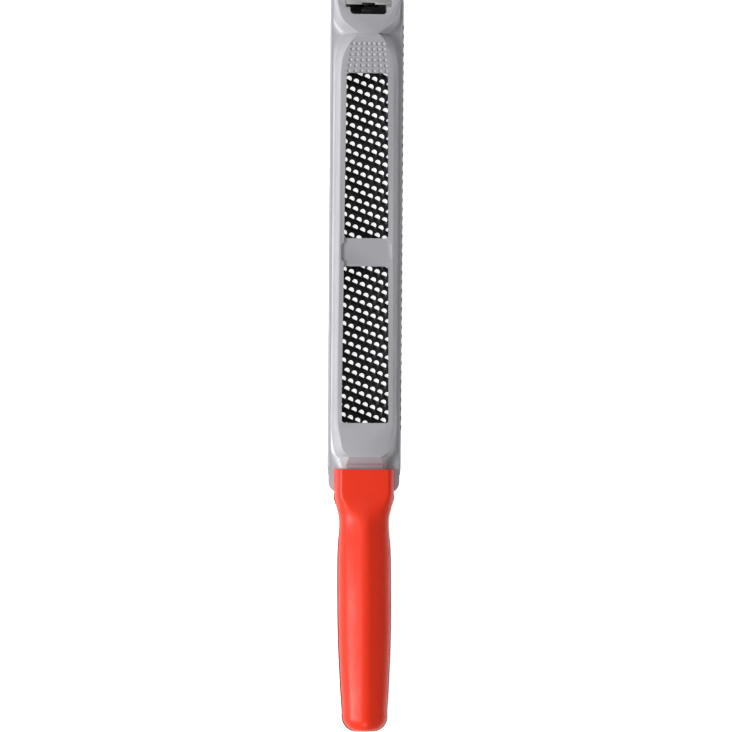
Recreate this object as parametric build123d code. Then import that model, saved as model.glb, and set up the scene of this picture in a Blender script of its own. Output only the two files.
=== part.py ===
from build123d import *
import math
import os

# Wood rasp with a replaceable perforated blade: cast open frame, moulded two-part handle
# and a screw-driven slider in the nose that keeps the blade tight.
# Units are millimetres. +Y points to the nose, +X to the right, +Z up.
# The origin is under the middle of the bounding box, on the plane of the tooth tips.

os.makedirs("parts", exist_ok=True)

# ---------------------------------------------------------------- blade, driving sizes
blade_width = 40.0
blade_offset = 0.2
sheet = 0.8
tooth_height = 1.0
flange_top = 7.0
flange_bend = 1.4
blade_corner = 2.8
side_gap = 0.2
rest_gap = 0.1
hole_radius = 1.5
hole_flat = 0.65
hole_turn = -26.0
column_pitch = 4.05
row_pitch = 5.03
row_slope = 0.364
row_stagger = 0.16
row_phase = 2.86
row_start = 2.7
hole_margin = 3.2
tooth_root = 1.55
tooth_lip = 0.3
side_tooth_pitch = 5.0
side_tooth_height = 0.35
side_tooth_low = 2.8
side_tooth_high = 6.4

# ---------------------------------------------------------------- frame, driving sizes
boss_length = 20.9
pad_length = 21.6
front_window_length = 90.7
bridge_length = 15.4
rear_window_length = 86.0
ramp_length = 9.7
deck_length = 18.6
slope_length = 4.5
ledge_length = 2.4
heel_length = 13.0
blade_tail = 2.4

lip_gap = 0.2
lip_cover = 0.1
heel_inset = 0.4
shoulder_top = 8.3
rim_top = 14.0
bridge_top = 12.6
boss_top = 18.0
pad_step = 1.5
deck_top = 17.0
ledge_top = 12.5
shoulder_land = 1.3
edge_break = 0.5
crown_break = 0.9
sole_break = 0.8
heel_corner = 6.0

rim_front_inset = 4.4
rim_rear_inset = 3.7
window_rim_front = 4.0
window_rim_rear = 3.1
window_corner = 1.8
wall = 2.4
ceiling = 10.0
neck_half_width = 6.3

dimple_rows = 6
dimple_columns = 7
dimple_row_pitch = 2.97
dimple_front_pitch = 2.75
dimple_rear_pitch = 3.45
dimple_radius = 1.05
dimple_depth = 0.55
dimple_start = 5.8

# ---------------------------------------------------------------- nose mechanism
screw_radius = 2.5
screw_axis = 8.0
screw_pitch = 0.8
screw_turns = 1.75
head_radius = 4.5
head_height = 2.5
drive_slot_width = 1.2
drive_slot_depth = 1.3
washer_thickness = 0.5
washer_radius = 5.0
run_gap = 0.05
nose_wall = 4.0
clip_thickness = 0.8
clip_radius = 4.2
clip_groove = 0.5
slide_gap = 0.15
plate_half_width = 12.35
plate_thickness = 2.4
plate_length = 5.4
plate_notch_half = 3.6
plate_notch_depth = 1.1
block_half_width = 9.95
block_length = 6.5
block_bottom = 3.5
block_top = 11.5
leg_inner = 6.2
chamber_top = 13.2
opening_rear = 10.65
opening_corner = 2.2
nut_side = 8.0
nut_thickness = 4.0
hook_half_width = 5.0
hook_thickness = 1.6
hook_plate = 1.2
hook_tip = 0.6
hook_plate_half = 8.6
hook_peg_radius = 1.3
hook_peg_height = 3.0
hook_peg_offset = 6.9
travel_room = 0.4
slider_travel = screw_pitch * screw_turns

# ---------------------------------------------------------------- rear anchor
pin_radius = 2.5
pin_set = 6.8
pin_top = 10.0
slot_room = 2.0

# ---------------------------------------------------------------- handle, driving sizes
handle_length = 142.4
handle_rise = 7.0
collar_top = 18.0
collar_width = 33.0
waist_width = 27.0
belly_width = 28.7
tail_width = 24.3
base_overhang = 0.45
tang_half_width = 6.0
tang_half_height = 4.0
tang_short = 34.4
shell_gap = 0.15
pad_half_width = 8.0
pad_depth = 1.8
pad_start = 42.0
pad_short = 26.4
screw_set_front = 27.0
screw_set_middle = 76.0
screw_short_rear = 15.4
handle_screw_radius = 2.0
handle_head_radius = 4.0
handle_head_height = 1.8
handle_washer_radius = 4.4
handle_washer_thickness = 0.5
handle_nut_side = 7.0
handle_nut_thickness = 3.2
head_seat = 4.5

# ---------------------------------------------------------------- derived sizes
sole_top = tooth_height + sheet
frame_bottom = sole_top + rest_gap
half_width = blade_width / 2 - blade_offset - sheet - side_gap
lip_bottom = flange_top + lip_gap
lip_half_width = blade_width / 2 - blade_offset + lip_cover
heel_half_width = lip_half_width - heel_inset
head_projection = washer_thickness + run_gap + head_height
pad_at = boss_length
rails_at = pad_at + pad_length
bridge_at = rails_at + front_window_length
rear_window_at = bridge_at + bridge_length
deck_at = rear_window_at + rear_window_length
slope_at = deck_at + deck_length
ledge_at = slope_at + slope_length
collar_at = ledge_at + ledge_length
blade_length = collar_at + blade_tail
heel_at = collar_at + heel_length
tail_at = collar_at + handle_length
tang_length = handle_length - tang_short
pad_end = handle_length - pad_short
screw_set_rear = handle_length - screw_short_rear
nose_y = (tail_at + base_overhang + head_projection) / 2 - head_projection


def at(distance):
    """Y position of a point given its distance behind the nose face."""
    return nose_y - distance


def station(distance):
    """Upright drawing plane across the tool at a distance behind the nose face."""
    return Plane.XZ.offset(-at(distance))


def slab(half_x, near, far, low, high):
    """Block centred on the tool axis between two distances behind the nose and two heights."""
    centre = Pos(0, at((near + far) / 2), (low + high) / 2)
    return centre * Box(2 * half_x, far - near, high - low)


def side_slabs(inner, outer, near, far, low, high):
    """Pair of blocks standing at both sides of the tool axis."""
    size = Box(outer - inner, far - near, high - low)
    middle = (inner + outer) / 2
    y = at((near + far) / 2)
    z = (low + high) / 2
    return Pos(middle, y, z) * size + Pos(-middle, y, z) * size


# ---------------------------------------------------------------- frame casting
def crown_profile(half_top, top):
    """Cross-section of the casting: skirt, lip over the blade edge, hollow flank, flat crown."""
    foot = lip_half_width - shoulder_land
    brow = top - crown_break
    hollow_x = half_top + 0.25 * (foot - half_top)
    hollow_z = shoulder_top + 0.15 * (brow - shoulder_top)
    lip_edge = shoulder_top - edge_break
    right = [
        Line((half_width - sole_break, frame_bottom), (half_width, frame_bottom + sole_break)),
        Line((half_width, frame_bottom + sole_break), (half_width, lip_bottom)),
        Line((half_width, lip_bottom), (lip_half_width, lip_bottom)),
        Line((lip_half_width, lip_bottom), (lip_half_width, lip_edge)),
        Line((lip_half_width, lip_edge), (lip_half_width - edge_break, shoulder_top)),
        Line((lip_half_width - edge_break, shoulder_top), (foot, shoulder_top)),
        Bezier((foot, shoulder_top), (hollow_x, hollow_z), (half_top, brow)),
        Line((half_top, brow), (half_top - crown_break, top)),
    ]
    crown = Line((half_top - crown_break, top), (crown_break - half_top, top))
    sole_half = half_width - sole_break
    sole = Line((-sole_half, frame_bottom), (sole_half, frame_bottom))
    left = [edge.mirror(Plane.YZ) for edge in right]
    return right + [crown] + left + [sole]


def crown_section(distance, half_top, top):
    """Cross-section face of the casting placed at its station."""
    profile = Wire(crown_profile(half_top, top))
    return station(distance) * Face(profile)


def hull(stations, ruled):
    """Skin one stretch of the casting over its stations (distance, half crown, height)."""
    sections = [crown_section(*values) for values in stations]
    return loft(sections, ruled=ruled)


def pad_height(distance):
    """Height of the thumb pad, a step below the nose boss and falling to the rims."""
    progress = (distance - pad_at) / pad_length
    return rim_top + (boss_top - pad_step - rim_top) * (1 - progress)


def pad_half_width_at(distance):
    """Half width of the arch-shaped thumb pad."""
    progress = (distance - pad_at) / pad_length
    rim = lip_half_width - rim_front_inset
    return neck_half_width + (rim - neck_half_width) * (1 - (1 - progress) ** 2.2) ** 0.9


def rim_half_width(distance):
    """Half width over the rims, widening a little towards the handle."""
    progress = (distance - rails_at) / (deck_at - rails_at)
    front = lip_half_width - rim_front_inset
    rear = lip_half_width - rim_rear_inset
    return front + (rear - front) * progress


boss_shape = [
    (0.0, lip_half_width - 1.9, boss_top),
    (0.28 * boss_length, lip_half_width - 2.4, boss_top),
    (0.5 * boss_length, lip_half_width - 3.6, boss_top),
    (0.7 * boss_length, lip_half_width - 6.0, boss_top),
    (0.86 * boss_length, lip_half_width - 9.9, boss_top),
    (boss_length, neck_half_width, boss_top),
]
pad_steps = [0.0, 0.12, 0.28, 0.46, 0.7, 1.0]
pad_stations = [pad_at + step * pad_length for step in pad_steps]
pad_shape = [(spot, pad_half_width_at(spot), pad_height(spot)) for spot in pad_stations]
ramp_at = deck_at - ramp_length
rail_shape = [
    (rails_at, rim_half_width(rails_at), rim_top),
    (ramp_at, rim_half_width(ramp_at), rim_top),
    (deck_at, rim_half_width(deck_at), deck_top),
]
deck_shape = [
    (deck_at, rim_half_width(deck_at), deck_top),
    (deck_at + 0.54 * deck_length, lip_half_width - 5.5, deck_top),
    (deck_at + 0.8 * deck_length, lip_half_width - 6.8, deck_top),
    (deck_at + 0.92 * deck_length, lip_half_width - 8.4, deck_top),
    (slope_at, lip_half_width - 10.4, deck_top),
]
slope_shape = [
    (slope_at, lip_half_width - 10.4, deck_top),
    (ledge_at, lip_half_width - 8.9, ledge_top),
    (collar_at, lip_half_width - 8.9, ledge_top),
]
frame = hull(boss_shape, False) + hull(pad_shape, False) + hull(rail_shape, True)
frame += hull(deck_shape, False) + hull(slope_shape, True)
nose_outline = Pos(0, at(tail_at / 2))
nose_outline = nose_outline * RectangleRounded(2 * lip_half_width, tail_at, blade_corner)
frame = frame & extrude(nose_outline, 2 * boss_top)

# The heel carries the collar of the handle. Beside the blade it is a narrow foot under a
# straight piece of the lip; behind the blade it widens and ends in two rounded corners.
heel_height = shoulder_top - frame_bottom
wide_at = blade_length + lip_gap


def heel_block(half, near, far, corner):
    """Flat block between two distances behind the nose, with rounded rear corners."""
    outline = Pos(0, at((near + far) / 2)) * Rectangle(2 * half, far - near)
    outline = fillet(outline.vertices().group_by(Axis.Y)[0], corner)
    block = Pos(0, 0, frame_bottom) * extrude(outline, heel_height)
    return chamfer(block.edges().group_by(Axis.Z)[0], sole_break)


frame += heel_block(half_width, ledge_at, heel_at - heel_corner, sole_break)
frame += heel_block(heel_half_width, wide_at, heel_at, heel_corner)
frame += slab(lip_half_width, collar_at - 1.0, wide_at + 0.5, lip_bottom, shoulder_top)


def rise(distance):
    """Height of the parting face of the handle, which climbs towards the tail."""
    return shoulder_top + math.tan(math.radians(handle_rise)) * max(0.0, distance - heel_at)


def tang_outline(gap):
    """Side view of the tang: a short root over the heel, then a bar climbing in the handle."""
    half = tang_half_height + gap
    root_top = shoulder_top + half
    root_bottom = shoulder_top - half
    end = collar_at + tang_length + gap
    return Polyline(
        (at(collar_at) + 1.0, root_bottom),
        (at(collar_at) + 1.0, root_top),
        (at(heel_at), root_top),
        (at(end), rise(end) + half),
        (at(end), rise(end) - half),
        (at(heel_at), root_bottom),
        close=True,
    )


def tang(gap):
    """Tang solid, enlarged by a gap when it is used to cut the handle shells."""
    outline = Plane.YZ * make_face(tang_outline(gap))
    return extrude(outline, tang_half_width + gap, both=True)


frame += tang(0.0)


# Two long windows let the shavings out above the blade.
def window_half_width(distance):
    """Half width of the window openings, following the rims."""
    progress = (distance - rails_at) / (deck_at - rails_at)
    front = rim_half_width(rails_at) - window_rim_front
    rear = rim_half_width(deck_at) - window_rim_rear
    return front + (rear - front) * progress


def window_cut(start, end):
    """Prism that opens one window from the blade up through the crown."""
    corners = [
        (window_half_width(start), at(start)),
        (window_half_width(end), at(end)),
        (-window_half_width(end), at(end)),
        (-window_half_width(start), at(start)),
    ]
    outline = make_face(FilletPolyline(*corners, radius=window_corner, close=True))
    return extrude(outline, boss_top + 1)


frame -= window_cut(rails_at, bridge_at)
frame -= window_cut(rear_window_at, deck_at)

# The casting is hollow under the rims, the bridge and the front of the deck.
cavity_top_half = half_width - wall - 3.9
cavity_profile = Polyline(
    (half_width - wall, frame_bottom - 1),
    (half_width - wall, shoulder_top - wall),
    (cavity_top_half, ceiling),
    (-cavity_top_half, ceiling),
    (wall - half_width, shoulder_top - wall),
    (wall - half_width, frame_bottom - 1),
    close=True,
)
cavity_start = rails_at - 2.5
cavity_end = deck_at + 0.55 * deck_length
cavity_length = cavity_end - cavity_start
frame -= extrude(station(cavity_start) * make_face(cavity_profile), cavity_length)
pad_cavity_half = neck_half_width + 2.7
pad_cavity_length = rails_at - pad_at - 2.0
pad_cavity = Pos(0, at(pad_at + 3.0 + pad_cavity_length / 2), (frame_bottom + ceiling) / 2)
pad_cavity_height = ceiling - frame_bottom
frame -= pad_cavity * Box(2 * pad_cavity_half, pad_cavity_length, pad_cavity_height)

# The bridge is recessed below the rims and its recess has chamfered ears.
bridge_middle = at((bridge_at + rear_window_at) / 2)
bridge_half = window_half_width((bridge_at + rear_window_at) / 2)
recess_depth = boss_top - bridge_top
recess = Pos(0, bridge_middle) * Rectangle(2 * bridge_half, bridge_length + 1)
ears = Pos(0, bridge_middle) * Rectangle(2 * (bridge_half + 1.5), 0.66 * bridge_length)
ears = chamfer(ears.vertices(), 1.2)
frame -= Pos(0, 0, bridge_top) * extrude(recess + ears, recess_depth)


# The thumb pad carries rows of small dimples that fan out towards the window.
def dimple_spots():
    """Positions of the dimple centres on the thumb pad."""
    spots = []
    for row in range(dimple_rows):
        distance = pad_at + dimple_start + row * dimple_row_pitch
        spread = dimple_rear_pitch - dimple_front_pitch
        pitch = dimple_front_pitch + spread * row / (dimple_rows - 1)
        for column in range(dimple_columns):
            offset = (column - (dimple_columns - 1) / 2) * pitch
            spots.append((offset, distance))
    return spots


# A shallow spherical cutter sunk by the dimple depth leaves a dimple of the set radius.
ball_radius = (dimple_radius ** 2 + dimple_depth ** 2) / (2 * dimple_depth)
for offset, distance in dimple_spots():
    ball_height = pad_height(distance) + ball_radius - dimple_depth
    frame -= Pos(offset, at(distance), ball_height) * Sphere(ball_radius)

# ---------------------------------------------------------------- nose chamber
block_at = nose_wall + 2.0
block_end = block_at + block_length
chamber_end = block_end + slider_travel + travel_room
chamber_half = block_half_width + slide_gap
frame -= slab(chamber_half, nose_wall, chamber_end, frame_bottom - 1, chamber_top)
opening_length = opening_rear - nose_wall
opening = Pos(0, at(nose_wall + opening_length / 2)) * Rectangle(2 * chamber_half, opening_length)
opening = fillet(opening.vertices().group_by(Axis.Y)[0], opening_corner)
frame -= Pos(0, 0, chamber_top - 1) * extrude(opening, boss_top - chamber_top + 2)
leg_floor = block_bottom - slide_gap
frame -= side_slabs(
    leg_inner - slide_gap, chamber_half, -1.0, nose_wall + 1, leg_floor, boss_top + 1
)
plate_room = plate_length + slider_travel + 0.1
plate_floor = boss_top - plate_thickness - slide_gap
plate_slot_half = plate_half_width + slide_gap
frame -= slab(plate_slot_half, -1.0, plate_room, plate_floor, boss_top + 1)
screw_line = Pos(0, nose_y, screw_axis) * Rot(90, 0, 0)
frame -= screw_line * Cylinder(screw_radius + 0.1, 3 * nose_wall)

# ---------------------------------------------------------------- rear anchor pin
pin_at = collar_at - pin_set + ledge_length
pin_length = pin_top - hook_tip
pin_place = Pos(0, at(pin_at), hook_tip + pin_length / 2)
frame -= pin_place * Cylinder(pin_radius, pin_length)
anchor_pin = pin_place * Cylinder(pin_radius, pin_length)
anchor_pin = chamfer(anchor_pin.edges().group_by(Axis.Z)[0], 0.3)

# ---------------------------------------------------------------- slider, nut and hook
plate = slab(plate_half_width, 0.1, plate_length, boss_top - plate_thickness, boss_top)
plate = chamfer(plate.edges().filter_by(Axis.X).group_by(Axis.Z)[-1], 0.5)
notch = slab(
    plate_notch_half, plate_length - plate_notch_depth, plate_length + 1, plate_floor, boss_top + 1
)
legs_top = boss_top - plate_thickness
slider = plate - notch
slider += side_slabs(leg_inner, block_half_width, 0.2, plate_length, block_bottom, legs_top)
slider += side_slabs(leg_inner, block_half_width, 0.2, block_end, block_bottom, block_top)
slider += slab(block_half_width, block_at, block_end, block_bottom, block_top)
slider -= screw_line * Cylinder(screw_radius + 0.3, 4 * block_end)
nut_near = block_end - nut_thickness - 1.0
nut_half = nut_side / 2
nut_pocket_half = nut_half + 0.1
nut_low = screw_axis - nut_half
slider -= slab(nut_pocket_half, nut_near - 0.1, nut_near + nut_thickness + 0.1, nut_low, block_top + 1)
nut_place = Pos(0, at(nut_near + nut_thickness / 2), screw_axis) * Rot(90, 0, 0)
tension_nut = nut_place * Box(nut_side, nut_side - 0.2, nut_thickness)
tension_nut = chamfer(tension_nut.edges().filter_by(Axis.Y), 0.4)
tension_nut -= nut_place * Cylinder(screw_radius + run_gap, nut_thickness)

hook_top = block_bottom
hook = slab(hook_plate_half, block_at, block_end, hook_top - hook_plate, hook_top)
hook += slab(hook_half_width, block_at, block_at + hook_thickness, hook_tip, hook_top)
peg_y = at(block_at + block_length / 2)
peg_middle = hook_top + hook_peg_height / 2
for side in (-1, 1):
    peg_place = Pos(side * hook_peg_offset, peg_y, peg_middle)
    hook += peg_place * Cylinder(hook_peg_radius, hook_peg_height)
slider -= hook

# ---------------------------------------------------------------- tension screw and clip
seat = washer_thickness + run_gap
shank_end = block_end + slider_travel
thrust_washer = Pos(0, nose_y + washer_thickness / 2, screw_axis) * Rot(90, 0, 0)
washer_ring = Cylinder(washer_radius, washer_thickness)
washer_ring -= Cylinder(screw_radius + 0.1, 2 * washer_thickness)
thrust_washer = thrust_washer * washer_ring

head_place = Pos(0, nose_y + seat + head_height / 2, screw_axis) * Rot(90, 0, 0)
shank_place = Pos(0, nose_y + seat - (shank_end + seat) / 2, screw_axis) * Rot(90, 0, 0)
screw_head = head_place * Cylinder(head_radius, head_height)
screw_head = fillet(screw_head.edges().group_by(Axis.Y)[-1], 0.8)
shank = shank_place * Cylinder(screw_radius, shank_end + seat)
shank = chamfer(shank.edges().group_by(Axis.Y)[0], 0.5)
tension_screw = screw_head + shank
drive_slot = Pos(0, nose_y + seat + head_height, screw_axis)
drive_slot = drive_slot * Box(2 * head_radius + 1, 2 * drive_slot_depth, drive_slot_width)
tension_screw -= drive_slot
clip_near = nose_wall + 0.3
clip_place = Pos(0, at(clip_near + clip_thickness / 2), screw_axis) * Rot(90, 0, 0)
groove = Cylinder(screw_radius + 1, clip_thickness)
groove -= Cylinder(screw_radius - clip_groove, clip_thickness)
tension_screw -= clip_place * groove
retaining_clip = Cylinder(clip_radius, clip_thickness - 0.1)
retaining_clip -= Cylinder(screw_radius - clip_groove, clip_thickness)
clip_mouth = Pos(0, -clip_radius, 0) * Box(2 * (screw_radius - clip_groove), 2 * clip_radius, 1)
retaining_clip -= clip_mouth
retaining_clip = clip_place * retaining_clip


# ---------------------------------------------------------------- blade
def hole_wire(x, y):
    """D-shaped opening with its flat side towards the handle."""
    half = math.sqrt(hole_radius ** 2 - hole_flat ** 2)
    dome = ThreePointArc((-half, -hole_flat), (0, hole_radius), (half, -hole_flat))
    flat = Line((half, -hole_flat), (-half, -hole_flat))
    return Pos(x, y) * Rot(0, 0, hole_turn) * Wire([dome, flat])


tooth_profile = Polyline(
    (-hole_flat - tooth_root, tooth_height),
    (-hole_flat - tooth_root, tooth_height + sheet / 4),
    (-hole_flat, tooth_height + sheet / 4),
    (-hole_flat, tooth_height),
    (-hole_flat + tooth_lip, 0.0),
    (-hole_flat, 0.0),
    close=True,
)
tooth_half_width = math.sqrt(hole_radius ** 2 - hole_flat ** 2)
tooth_blank = extrude(Plane.YZ * make_face(tooth_profile), tooth_half_width, both=True)

front_slot_near = block_at - run_gap
front_slot_far = block_at + hook_thickness + slider_travel + travel_room
front_plain = front_slot_far + 6.0
rear_slot_near = pin_at - pin_radius - slot_room
rear_slot_far = pin_at + pin_radius + run_gap
rear_plain = rear_slot_near - 6.0


def hole_spots():
    """Centres of the perforations: sloping rows, every second row set half a column over."""
    spots = []
    reach = blade_width / 2 - hole_margin
    columns = math.ceil(reach / column_pitch) + 1
    rows = math.ceil(blade_length / row_pitch) + 4
    for row in range(-4, rows):
        shift = row_phase + (row % 2) * column_pitch / 2
        drop = (row % 2) * row_stagger
        for column in range(-columns, columns):
            x = shift + column * column_pitch
            distance = front_plain + row_start + row * row_pitch + drop + row_slope * x
            if abs(x) < reach and front_plain < distance < rear_plain:
                spots.append((x, at(distance)))
    return spots


spots = hole_spots()
web_half = blade_width / 2 - flange_bend
web_middle = at(blade_length / 2)
web_outline = Pos(blade_offset, web_middle) * Rectangle(2 * web_half, blade_length)
holes = [hole_wire(x, y) for x, y in spots]
web_face = Face(web_outline.face().outer_wire(), holes)
web = Pos(0, 0, tooth_height) * extrude(web_face, sheet)
teeth = [Pos(x, y) * Rot(0, 0, hole_turn) * tooth_blank for x, y in spots]

edge_x = blade_offset + blade_width / 2
bend_x = blade_offset + web_half
flange_profile = FilletPolyline(
    (bend_x, tooth_height),
    (edge_x, tooth_height),
    (edge_x, flange_top),
    radius=flange_bend - 0.05,
)
flange_inner = FilletPolyline(
    (edge_x - sheet, flange_top),
    (edge_x - sheet, sole_top),
    (bend_x, sole_top),
    radius=flange_bend - sheet - 0.05,
)
flange_loop = [
    flange_profile,
    Line((edge_x, flange_top), (edge_x - sheet, flange_top)),
    flange_inner,
    Line((bend_x, sole_top), (bend_x, tooth_height)),
]
flange_face = Face(Wire([edge for part in flange_loop for edge in part.edges()]))
flange = extrude(station(0) * flange_face, blade_length)
flange_left = Pos(2 * blade_offset, 0, 0) * flange.mirror(Plane.YZ)

# The right flange stands a little proud of the lip and carries a row of side teeth.
side_count = int((rear_plain - front_plain) / side_tooth_pitch)
side_tooth_profile = Polyline(
    (edge_x - sheet / 4, 0.0),
    (edge_x, 0.0),
    (edge_x + side_tooth_height, -0.16 * side_tooth_pitch),
    (edge_x, -0.8 * side_tooth_pitch),
    (edge_x - sheet / 4, -0.8 * side_tooth_pitch),
    close=True,
)
side_tooth = extrude(make_face(side_tooth_profile), side_tooth_high - side_tooth_low)
side_spots = [front_plain + i * side_tooth_pitch for i in range(side_count)]
side_teeth = [Pos(0, at(spot), side_tooth_low) * side_tooth for spot in side_spots]

blade = web.fuse(flange_left, flange, *teeth)
corner_box = RectangleRounded(blade_width, blade_length, blade_corner)
corner_box = Pos(blade_offset, web_middle) * corner_box
blade = blade & extrude(corner_box, flange_top + 1)
blade = blade.fuse(*side_teeth)
blade -= slab(hook_half_width + 0.3, front_slot_near, front_slot_far, 0.0, sole_top + 1)
rear_slot_half = pin_radius + 0.2
rear_slot = Pos(0, at((rear_slot_near + rear_slot_far) / 2))
rear_slot_length = rear_slot_far - rear_slot_near
rear_slot = rear_slot * RectangleRounded(2 * rear_slot_half, rear_slot_length, 1.2)
blade -= extrude(rear_slot, sole_top + 1)


# ---------------------------------------------------------------- handle shells
def dome_half(width, distance, height, crest, slope):
    """Upper half section: upright at the parting face, closing on a soft crest."""
    base = rise(distance)
    sag = crest * slope / 2
    half = width / 2
    reach = 0.5 * (half - crest)
    side_top = base + height - sag
    right = Bezier(
        (half, base),
        (half, base + 0.62 * height),
        (crest + reach, side_top - reach * slope),
        (crest, side_top),
    )
    ridge = ThreePointArc((crest, side_top), (0, base + height), (-crest, side_top))
    left = right.mirror(Plane.YZ)
    seam = Line((-half, base), (half, base))
    return station(distance) * Face(Wire([right, ridge, left, seam]))


def keel_half(width, distance, depth, flat):
    """Lower half section: upright at the parting face, rounded to a flat keel."""
    base = rise(distance)
    half = width / 2
    reach = 0.5 * (half - flat)
    bottom = base - depth
    right = Bezier(
        (half, base),
        (half, base - 0.85 * depth),
        (flat + reach, bottom),
        (flat, bottom),
    )
    keel = Line((flat, bottom), (-flat, bottom))
    left = right.mirror(Plane.YZ)
    seam = Line((-half, base), (half, base))
    return station(distance) * Face(Wire([right, keel, left, seam]))


collar_height = collar_top - shoulder_top
crest_slope = 0.42
# Each row: distance behind the heel, width, height over and depth under the parting
# face, half width and slope of the crest, half width of the flat keel.
grip_length = tail_at - heel_at
cap_radius = 8.0
neck_row = 0.055 * grip_length
waist_row = 0.12 * grip_length
belly_row = 0.25 * grip_length
grip_rows = [
    (0.0, collar_width, collar_height, 6.0, 12.2, 0.02, 9.0),
    (neck_row, collar_width - 2.4, collar_height + 0.5, 6.6, 8.6, 0.14, 8.2),
    (waist_row, waist_width, collar_height + 1.3, 7.8, 3.6, crest_slope, 7.2),
    (belly_row, waist_width + 1.4, 12.3, 9.9, 3.2, crest_slope, 6.5),
    (0.41 * grip_length, belly_width, 13.2, 11.4, 3.2, crest_slope, 6.0),
    (0.6 * grip_length, belly_width - 0.4, 12.8, 11.2, 3.2, crest_slope, 6.0),
    (0.8 * grip_length, tail_width + 1.8, 12.0, 10.6, 3.2, crest_slope, 5.5),
    (grip_length - cap_radius, tail_width, 11.2, 9.8, 3.2, crest_slope, 5.0),
]


def grip_values(distance):
    """Section sizes at a distance behind the heel, on a smooth curve through the grip rows."""
    last = len(grip_rows) - 1
    index = max(i for i in range(last) if grip_rows[i][0] <= distance + 1e-6)
    near = grip_rows[index]
    far = grip_rows[index + 1]
    before = grip_rows[max(index - 1, 0)]
    after = grip_rows[min(index + 2, last)]
    span = far[0] - near[0]
    share = (distance - near[0]) / span
    values = []
    for column in range(1, len(near)):
        slope_near = (far[column] - before[column]) / (far[0] - before[0]) * span
        slope_far = (after[column] - near[column]) / (after[0] - near[0]) * span
        slope_near = 0.0 if index == 0 else slope_near
        slope_far = 0.0 if index + 1 == last else slope_far
        rise_near = (2 * share ** 3 - 3 * share ** 2 + 1) * near[column]
        rise_far = (3 * share ** 2 - 2 * share ** 3) * far[column]
        bend_near = (share ** 3 - 2 * share ** 2 + share) * slope_near
        bend_far = (share ** 3 - share ** 2) * slope_far
        values.append(rise_near + rise_far + bend_near + bend_far)
    return values


def cap_values(angle):
    """Section sizes on the rounded tail, shrinking along a quarter circle."""
    width, over, under, crest, slope, keel = grip_values(grip_length - cap_radius)
    shrink = 1 - math.cos(math.radians(angle))
    new_width = width - 2 * cap_radius * shrink
    ratio = new_width / width
    height_ratio = 0.5 + 0.5 * math.cos(math.radians(angle))
    return [
        new_width, over * height_ratio, under * height_ratio, crest * ratio, slope, keel * ratio
    ]


grip_steps = 16
grip_stretch = grip_length - cap_radius
cap_angles = [0, 20, 38, 54, 68, 80, 90]
grip_list = []
for step in range(grip_steps + 1):
    spot = grip_stretch * step / grip_steps
    grip_list.append((heel_at + spot, grip_values(spot)))
cap_list = []
base_cap_list = []
for angle in cap_angles:
    start = heel_at + grip_stretch
    reach = math.sin(math.radians(angle))
    cap_list.append((start + cap_radius * reach, cap_values(angle)))
    base_cap_list.append((start + (cap_radius + base_overhang) * reach, cap_values(angle)))


def dome_loft(rows):
    """Upper shell blank skinned over a list of (distance, section sizes)."""
    return loft([dome_half(v[0], spot, v[1], v[3], v[4]) for spot, v in rows])


def overhang(distance):
    """How far the lower shell stands out beyond the upper one, growing behind the neck."""
    share = (distance - heel_at - neck_row) / (belly_row - neck_row)
    return base_overhang * max(0.0, min(1.0, share))


def keel_loft(rows):
    """Lower shell blank skinned over a list of (distance, section sizes)."""
    return loft([keel_half(v[0] + 2 * overhang(spot), spot, v[2], v[5]) for spot, v in rows])


cover_grip = dome_loft(grip_list) + dome_loft(cap_list)
collar_face = dome_half(collar_width, collar_at, collar_height, 12.2, 0.02)
collar = extrude(collar_face, heel_length)
collar = chamfer(collar.edges().group_by(Axis.Y)[-1].group_by(Axis.Z)[-1], 0.6)
cover = collar + cover_grip
base = keel_loft(grip_list) + keel_loft(base_cap_list)
tang_room = tang(shell_gap)
cover -= tang_room
base -= tang_room
base -= slab(half_width, 0.0, heel_at + shell_gap, 0.0, shoulder_top)


# ---------------------------------------------------------------- grip pad
def keel_height(distance):
    """Height of the keel at a distance behind the nose."""
    return rise(distance) - grip_values(distance - heel_at)[2]


def pad_prism(gap):
    """Band along the keel that the soft pad fills."""
    near = collar_at + pad_start - gap
    far = collar_at + pad_end + gap
    steps = 8
    line = [near + (far - near) * step / steps for step in range(steps + 1)]
    roof = [(at(spot), keel_height(spot) + pad_depth + gap) for spot in line]
    outline = Polyline((at(near), -1), *roof, (at(far), -1), close=True)
    return extrude(Plane.YZ * make_face(outline), pad_half_width + gap, both=True)


grip_pad = base & pad_prism(0.0)
base -= pad_prism(shell_gap)

# ---------------------------------------------------------------- handle fasteners
fasteners = {}


def upright(distance, low, high, radius):
    """Vertical cylinder on the tool axis between two heights."""
    return Pos(0, at(distance), (low + high) / 2) * Cylinder(radius, high - low)


def seat_height(distance):
    """Height of the face under a handle screw head."""
    return rise(distance) - tang_half_height - 0.25 * head_seat


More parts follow.
